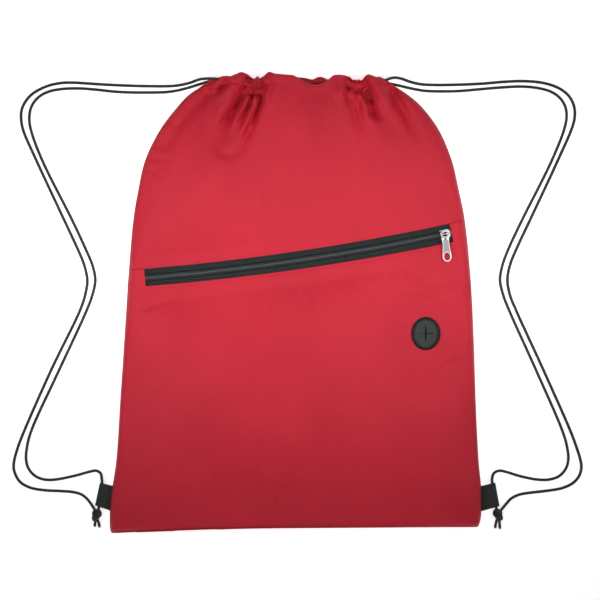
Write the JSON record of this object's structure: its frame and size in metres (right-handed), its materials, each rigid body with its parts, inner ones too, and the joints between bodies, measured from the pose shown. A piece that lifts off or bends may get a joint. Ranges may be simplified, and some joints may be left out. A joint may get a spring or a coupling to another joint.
{
  "type": "drawstring backpack",
  "caption": "Flat cloth drawstring backpack lying on its back, with a slanted zip pocket, a cable port, a gathered mouth and a knotted cord on each side.",
  "frame": {"origin": "on the surface that the bag lies on, under the middle of the bag with its tabs", "axes": "+Y towards the mouth, +Z out of the front face, +X towards the end of the zip where the slider rests"},
  "size_m": [0.5291, 0.4272, 0.0238],
  "materials": {
    "red_cloth": "red plain-weave polyester, faint sheen",
    "lining_cloth": "the same red polyester, wrong side out",
    "zip_tape": "black ribbed woven tape",
    "zip_coil": "black nylon coil, semi-matte",
    "zip_metal": "bright nickel-plated die casting",
    "port_rubber": "matte black rubber",
    "webbing": "black ribbed webbing",
    "cord_braid": "black round braided cord"
  },
  "bodies": {
    "bag": {"back_panel": "red_cloth", "front_upper_panel": "red_cloth", "front_pocket_panel": "red_cloth", "pocket_lining": "lining_cloth", "front_cord_tunnel": "red_cloth", "back_cord_tunnel": "red_cloth", "zip_tape_upper": "zip_tape", "zip_tape_lower": "zip_tape", "zip_coil_upper": "zip_coil", "zip_coil_lower": "zip_coil", "zip_bottom_stop": "zip_metal", "zip_top_stop": "zip_metal", "cable_port": "port_rubber", "cable_port_washer": "port_rubber", "tab_left": "webbing", "tab_right": "webbing", "cord_left_in_tunnels": "cord_braid", "cord_right_in_tunnels": "cord_braid", "cord_left_outer": "cord_braid", "cord_left_inner": "cord_braid", "cord_right_outer": "cord_braid", "cord_right_inner": "cord_braid", "knot_left": "cord_braid", "knot_right": "cord_braid"},
    "zip_slider": {"slider_body": "zip_metal", "slider_crown": "zip_metal"},
    "zip_pull": {"slider_pull": "zip_metal"}
  },
  "joints": [
    {"name": "zip_travel", "type": "hinge", "parent": "bag", "child": "zip_slider", "pos_m": [-0.3235, 2.235, 0.0187], "axis": [0, 0, -1], "range_deg": [0, 7.07]},
    {"name": "pull_lift", "type": "hinge", "parent": "zip_slider", "child": "zip_pull", "pos_m": [0.13602, 0.06308, 0.022], "axis": [-0.9946, -0.1036, 0], "range_deg": [0, 190]}
  ]
}
